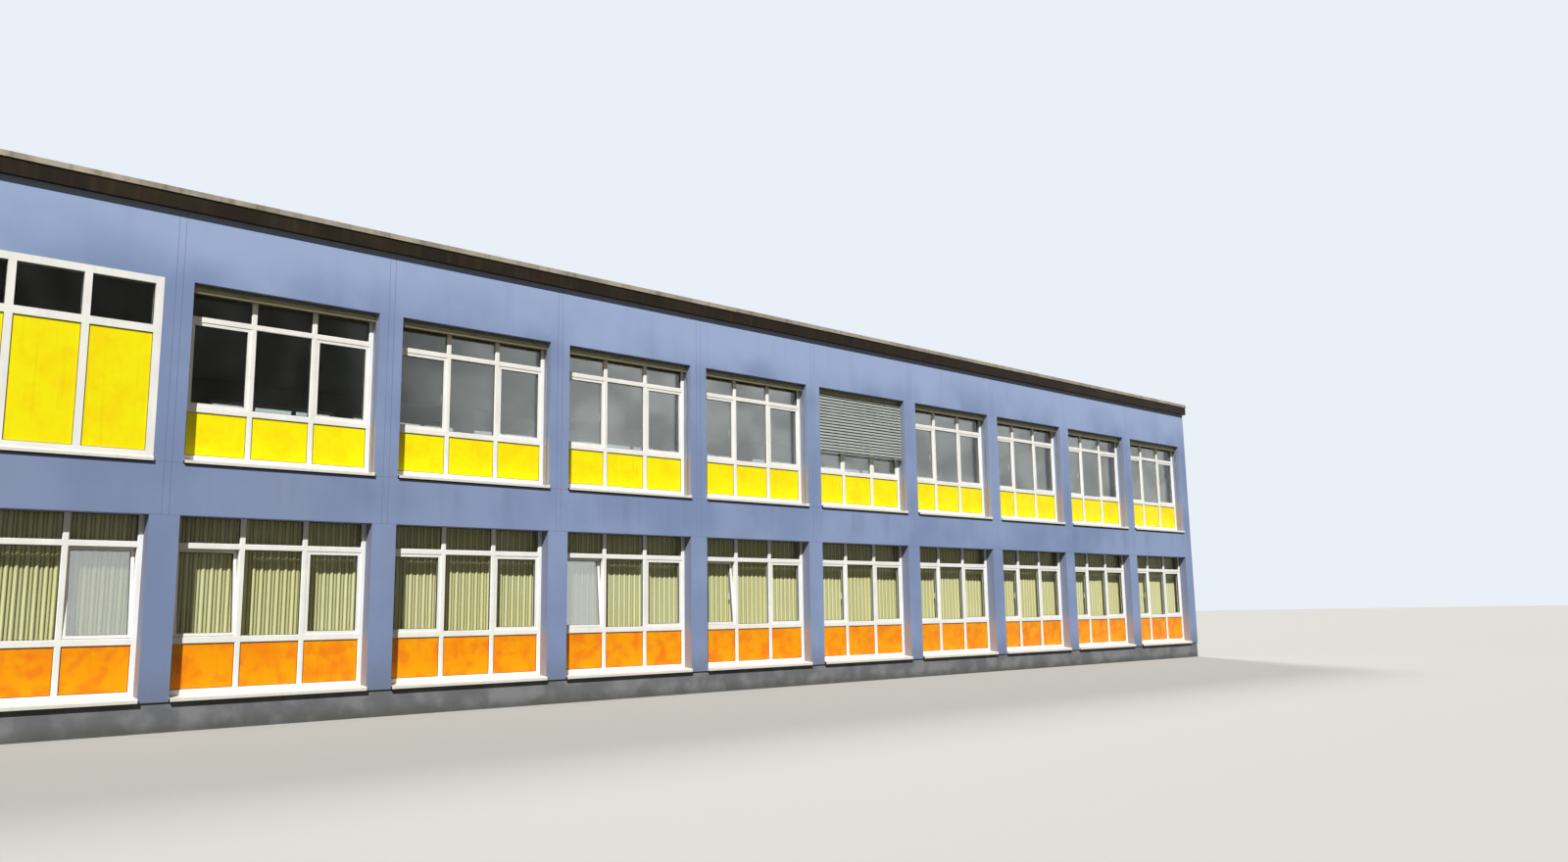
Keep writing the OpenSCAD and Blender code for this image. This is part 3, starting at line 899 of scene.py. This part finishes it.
blind = {
    "slat": 0.08,
    "crown": 0.007,
    "thick": 0.0012,
    "arcParts": 6,
    "box": 0.05,
    "rail": 0.018,
    "guide": 0.02,
    "setBack": 0.0925,
    "stackCount": 20,
    "stackPitch": 0.0035,
    "openCount": 19,
    "openPitch": 0.07,
    "angle": 60,
    "shake": 1.2,
    "tape": 0.006,
    "tapeThick": 0.0016,
    "tapeReach": 0.92,
    "cord": 0.003,
    "cordGap": 0.02,
    "rounding": 0.004,
}
blindLength = openingWidth - 2 * blind["guide"]
blindMiddle = blind["setBack"] + blind["slat"] / 2


def slatShape(look):
    shape = bmesh.new()
    half, parts = look["slat"] / 2, look["arcParts"]
    steps = [i / parts * 2 - 1 for i in range(parts + 1)]
    top = [(half * s, look["crown"] * (1 - s * s)) for s in steps]
    under = [(y, z - look["thick"] * 2) for y, z in reversed(top)]
    addProfile(shape, [(y, z - look["crown"] / 2) for y, z in top + under], 0, blindLength)
    return closeShape(shape, "slat")


def blindRails(look, drop):
    # head box and bottom rail, drawn under the window head
    shape = bmesh.new()
    half = look["slat"] / 2
    addBlock(shape, (0, -half, -look["box"]), (blindLength, half, 0))
    addBlock(shape, (0, -half, -drop), (blindLength, half, -drop + look["rail"]))
    return closeShape(shape, "blindRails", look["rounding"])


def blindTapes(look, drop):
    # a tape before and behind the slats in three places, with a cord beside each pair
    shape = bmesh.new()
    reach = look["slat"] / 2 * look["tapeReach"]
    wide, thick, cord = look["tape"] / 2, look["tapeThick"] / 2, look["cord"] / 2
    for part in (1, 3, 5):
        x = blindLength * part / 6
        for y in (-reach, reach):
            addBlock(shape, (x - wide, y - thick, -drop), (x + wide, y + thick, -look["box"]))
        side = x + look["cordGap"] + cord
        addBlock(shape, (side - cord, -cord, -drop), (side + cord, cord, -look["box"]))
    return closeShape(shape, "blindTapes")


def blindAnchors(bays):
    return [onSide("front", openingLeft(bay) + blind["guide"], blindMiddle, headLevel["upper"])
            for bay in bays]


def down(points, drop):
    return [point - Vector((0, 0, drop)) for point in points]


slat = template(slatShape(blind))
raisedBays = [bay for bay in range(wing["bays"]) if bay not in (wing["tallBay"], wing["loweredBay"])]
stackDrop = blind["box"] + blind["stackCount"] * blind["stackPitch"] + blind["rail"]
openDrop = blind["box"] + (blind["openCount"] + 1) * blind["openPitch"] + blind["rail"]
blindSets = (
    ("raisedBlind", raisedBays, "raised_blinds", blind["stackCount"], blind["stackPitch"], 0, stackDrop),
    ("loweredBlind", [wing["loweredBay"]], "lowered_blind", blind["openCount"],
     blind["openPitch"], blind["angle"], openDrop),
)
for name, bays, packed, count, pitch, angle, drop in blindSets:
    heads = blindAnchors(bays)
    first = blind["box"] + (pitch if angle else pitch / 2)
    common = {**single, "Seed": 3, "Finish": finishes["blind_slat"]}
    grow(name + "Slats", rowTree, down(heads, first), [], {
        **common, "Template": slat, "Count": count, "Step": (0, 0, -pitch),
        "Turn": (math.radians(angle), 0, 0), "Shake": (math.radians(blind["shake"]), 0, 0)},
        [packed])
    for part, mesh in (("Rails", blindRails(blind, drop)), ("Tapes", blindTapes(blind, drop))):
        helper = template(mesh)
        grow(name + part, rowTree, heads, [], {**common, "Template": helper}, [packed])
        bpy.data.objects.remove(helper)
bpy.data.objects.remove(slat)
print("blinds hung: raised", len(raisedBays), "lowered 1")

gasket = {"width": 0.011, "inset": 0.003, "stand": 0.001}


def paneRows():
    # each pane and panel as (side, storey, left, rise, width, height, outer depth, thickness, tilted)
    rows = []
    plain = wing["reveal"] + (window["depth"] - window["pane"]) / 2
    panel = wing["reveal"] + 2 * window["step"]
    for side in ("front", "back"):
        for storey, bay in windowsOf(side):
            behindBand = window["rebate"] if storey == "ground" else 0
            topHeight = headLevel[storey] + behindBand - sillLevel[storey] - window["frame"] - topRise
            for column in range(3):
                left = openingLeft(bay) + columnLeft(column)
                rows.append((side, storey, left, panelRise, columnWidth, window["panel"], panel,
                             window["panelThick"], False))
                rows.append((side, storey, left, topRise, columnWidth, topHeight, plain,
                             window["pane"], False))
                inset = 0 if column == 1 else window["sash"]
                rows.append((side, storey, left + inset, mainRise + inset, columnWidth - 2 * inset,
                             window["main"] - 2 * inset, plain + (window["step"] if inset else 0),
                             window["pane"], isTilted(side, storey, bay, column)))
    return rows


def tallRows():
    rows = []
    width = (openingWidth - 2 * tallWindow["frame"] - 2 * tallWindow["mullion"]) / 3
    panelFoot = window["sill"] + tallWindow["frame"] - window["frame"] / 2
    topFoot = panelFoot + tallWindow["panel"] + tallWindow["transom"]
    topHeight = headLevel["upper"] - sillLevel["upper"] - tallWindow["frame"] - topFoot
    for column in range(3):
        left = (openingLeft(wing["tallBay"]) + tallWindow["frame"]
                + column * (width + tallWindow["mullion"]))
        rows.append(("front", "upper", left, panelFoot, width, tallWindow["panel"],
                     2 * window["step"], window["panelThick"], False))
        rows.append(("front", "upper", left, topFoot, width, topHeight,
                     (tallWindow["depth"] - window["pane"]) / 2, window["pane"], False))
    return rows


def leaned(point):
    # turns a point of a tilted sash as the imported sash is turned, about its lower inner edge
    pivot = onSide("front", 0, wing["reveal"] + window["step"] + window["depth"],
                   sillLevel["ground"] + mainRise)
    turn = Matrix.Rotation(math.radians(-wing["tiltAngle"]), 3, "X")
    moved = turn @ (point - pivot) + pivot
    return Vector((point.x, moved.y, moved.z))


points, faces = [], []
for side, storey, left, rise, width, height, outer, thick, tilted in paneRows() + tallRows():
    inset = gasket["inset"]
    x0, x1 = left + inset, left + width - inset
    z0 = sillLevel[storey] + rise + inset
    z1 = z0 + height - 2 * inset
    for depth in (outer - gasket["stand"], outer + thick + gasket["stand"]):
        corners = [onSide(side, x, depth, z) for x, z in ((x0, z0), (x1, z0), (x1, z1), (x0, z1))]
        faces.append(tuple(range(len(points), len(points) + 4)))
        points += [leaned(corner) if tilted else corner for corner in corners]
grow("paneGaskets", stripTree, points, faces, {"Width": gasket["width"], "Finish": gasketRubber})
print("gaskets laid round", len(faces) // 2, "panes and panels")

handle = {
    "rose": (0.03, 0.07, 0.011), "neck": (0.016, 0.03), "lever": 0.13, "head": 0.012,
    "grip": 0.02, "thick": 0.013, "rounding": 0.003,
}


def handleShape(look):
    # rose on the sash, lever hanging down on the room side
    shape = bmesh.new()
    wide, tall, deep = look["rose"]
    addBlock(shape, (-wide / 2, 0, -tall / 2), (wide / 2, deep, tall / 2))
    half, reach = look["neck"][0] / 2, deep + look["neck"][1]
    addBlock(shape, (-half, deep, -half), (half, reach, half))
    addBlock(shape, (-look["grip"] / 2, reach - look["thick"], -look["lever"]),
             (look["grip"] / 2, reach, look["head"]))
    return closeShape(shape, "handle", look["rounding"])


sashBack = wing["reveal"] + window["step"] + window["depth"]
sideTurns = (("front", 0), ("back", math.pi))
handleTemplate = template(handleShape(handle))
for side, turn in sideTurns:
    spots = []
    for storey, bay in windowsOf(side):
        for column in (0, 2):
            edge = columnWidth - window["sash"] / 2 if column == 0 else window["sash"] / 2
            spot = onSide(side, openingLeft(bay) + columnLeft(column) + edge, sashBack,
                          sillLevel[storey] + mainRise + window["main"] / 2)
            spots.append(leaned(spot) if isTilted(side, storey, bay, column) else spot)
    setCopies(side + "Handles", handleTemplate, spots, "white_frame", {"Turn": (0, 0, turn)})
bpy.data.objects.remove(handleTemplate)

sillCap = {"thick": 0.004, "rise": 0.012}


def sillCapShape(look):
    # end plate of a sill, along its slope
    shape = bmesh.new()
    inner = wing["reveal"]
    outline = [(-window["sillOut"], 0.0), (inner, 0.0), (inner, window["sill"] + look["rise"]),
               (-window["sillOut"], window["sillNose"] + look["rise"])]
    addProfile(shape, outline, -look["thick"] / 2, look["thick"] / 2)
    return closeShape(shape, "sillCap")


capTemplate = template(sillCapShape(sillCap))
for side, turn in sideTurns:
    spots = []
    for storey, bay in windowsOf(side):
        for x in (sillCap["thick"] / 2, openingWidth - sillCap["thick"] / 2):
            spots.append(onSide(side, openingLeft(bay) + x, 0, sillLevel[storey]))
    setCopies(side + "SillCaps", capTemplate, spots, "white_frame", {"Turn": (0, 0, turn)})
bpy.data.objects.remove(capTemplate)

drain = {
    "width": 0.03, "height": 0.007, "depth": 0.004, "sunk": 0.001, "rounding": 0.0015,
    "fromEnd": 0.16, "rise": 0.035,
}


def drainShape(look):
    shape = bmesh.new()
    addBlock(shape, (-look["width"] / 2, -look["depth"], -look["height"] / 2),
             (look["width"] / 2, look["sunk"], look["height"] / 2))
    return closeShape(shape, "drainCap", look["rounding"])


drainTemplate = template(drainShape(drain))
for side, turn in sideTurns:
    spots = []
    for storey, bay in windowsOf(side):
        z = sillLevel[storey] + window["sill"] + drain["rise"]
        for column in range(3):
            left = openingLeft(bay) + columnLeft(column)
            for x in (left + drain["fromEnd"], left + columnWidth - drain["fromEnd"]):
                spots.append(onSide(side, x, wing["reveal"], z))
    setCopies(side + "DrainCaps", drainTemplate, spots, "white_frame", {"Turn": (0, 0, turn)})
bpy.data.objects.remove(drainTemplate)
print("handles, sill ends and drain caps set")

# The fall is the slope of the trim's top
cover = {
    "width": 0.09, "thick": 0.0015, "fromEdge": 0.05, "deep": 0.48, "fall": 0.025 / 0.485,
    "atEnds": 3,
}


def coverShape(look):
    # plate over a joint of the edge trim, on its slope, measured from the trim's outer top edge
    shape = bmesh.new()
    outer, inner = look["fromEdge"], look["deep"]
    foot = [(outer, -outer * look["fall"]), (inner, -inner * look["fall"])]
    lid = [(y, z + look["thick"]) for y, z in reversed(foot)]
    addProfile(shape, foot + lid, -look["width"] / 2, look["width"] / 2)
    return closeShape(shape, "trimCover")


coverTemplate = template(coverShape(cover))
coverRows = (
    ("Front", (bayStep - halfLength, trimLow.y), wing["bays"] - 1, (bayStep, 0), 0),
    ("Back", (bayStep - halfLength, trimHigh.y), wing["bays"] - 1, (bayStep, 0), math.pi),
    ("Left", (trimLow.x, -bayStep), cover["atEnds"], (0, bayStep), -math.pi / 2),
    ("Right", (trimHigh.x, -bayStep), cover["atEnds"], (0, bayStep), math.pi / 2),
)
for side, start, count, step, turn in coverRows:
    setCopies("trimCovers" + side, coverTemplate, [(*start, trimHigh.z)], "edge_trim",
              {"Count": count, "Step": (*step, 0), "Turn": (0, 0, turn)})
bpy.data.objects.remove(coverTemplate)
print("joint covers laid on the edge trim")

# The photo's viewpoint, with its angles in degrees
view = {
    "place": (-18.645, -23.872, 1.529), "turn": -43.3533, "rise": 8.8265, "roll": -0.945,
    "lens": 27.142, "sensor": 36, "reach": 1500,
}
camera = bpy.data.cameras.new("photoCamera")
camera.sensor_width = view["sensor"]
camera.lens = view["lens"]
camera.clip_end = view["reach"]
eye = bpy.data.objects.new("photoCamera", camera)
eye.matrix_world = (
    Matrix.Translation(view["place"])
    @ Matrix.Rotation(math.radians(view["turn"]), 4, "Z")
    @ Matrix.Rotation(math.radians(90 + view["rise"]), 4, "X")
    @ Matrix.Rotation(math.radians(view["roll"]), 4, "Z")
)
bpy.context.collection.objects.link(eye)
bpy.context.scene.camera = eye

studio = {
    "key": {"turn": 42, "rise": 43.2, "power": 4.7, "size": 1.0, "colour": (1, 0.99, 0.965)},
    "back": {"turn": -141, "rise": 38, "power": 2.2, "size": 12, "colour": (0.95, 0.97, 1)},
    "sky": "#e9f0f7", "fill": 0.12, "fillColour": "#efe7d6",
    "floor": "#b6b5b1", "floorFill": "#565144", "floorRadius": 600, "floorSides": 96,
}


def addSun(name, look):
    # turn is measured from straight before the front towards its left end
    lamp = bpy.data.lights.new(name, "SUN")
    lamp.energy = look["power"]
    lamp.angle = math.radians(look["size"])
    lamp.color = look["colour"]
    turn, rise = math.radians(look["turn"]), math.radians(look["rise"])
    towards = Vector((-math.sin(turn) * math.cos(rise), -math.cos(turn) * math.cos(rise),
                      math.sin(rise)))
    holder = bpy.data.objects.new(name, lamp)
    holder.rotation_mode = "QUATERNION"
    holder.rotation_quaternion = towards.to_track_quat("Z", "Y")
    bpy.context.collection.objects.link(holder)


def isSeen(bench):
    # 1 on rays that show the studio, straight or in metal and glass, 0 on those that light it
    path = bench.add("ShaderNodeLightPath", out="Is Camera Ray")
    return path.either(path.also("Is Glossy Ray")).either(path.also("Is Transmission Ray"))


addSun("keyLamp", studio["key"])
addSun("backLamp", studio["back"])
world = bpy.data.worlds.new("studioSky")
world.use_nodes = True
bpy.context.scene.world = world
sky = Bench(world.node_tree)
world.node_tree.nodes.clear()
shown = sky.add("ShaderNodeBackground", {}, {"Color": paint(studio["sky"]), "Strength": 1.0})
fill = sky.add("ShaderNodeBackground", {}, {
    "Color": paint(studio["fillColour"]), "Strength": studio["fill"]})
mixed = sky.add("ShaderNodeMixShader", {}, {0: isSeen(sky), 1: fill, 2: shown})
sky.add("ShaderNodeOutputWorld", {}, {"Surface": mixed})

ground = Finish("studioFloor")
ground.close(ground.principled({
    "Base Color": ground.blend(isSeen(ground), paint(studio["floorFill"]), paint(studio["floor"])),
    "Roughness": 0.9,
    "Specular IOR Level": 0.1,
}))
disc = bmesh.new()
bmesh.ops.create_circle(disc, cap_ends=True, radius=studio["floorRadius"],
                        segments=studio["floorSides"])
floorMesh = closeShape(disc, "studioFloor")
floorMesh.materials.append(ground.material)
floor = bpy.data.objects.new("studioFloor", floorMesh)
bpy.context.collection.objects.link(floor)
bpy.context.scene.view_settings.view_transform = "Standard"
print("camera, lamps and floor placed")
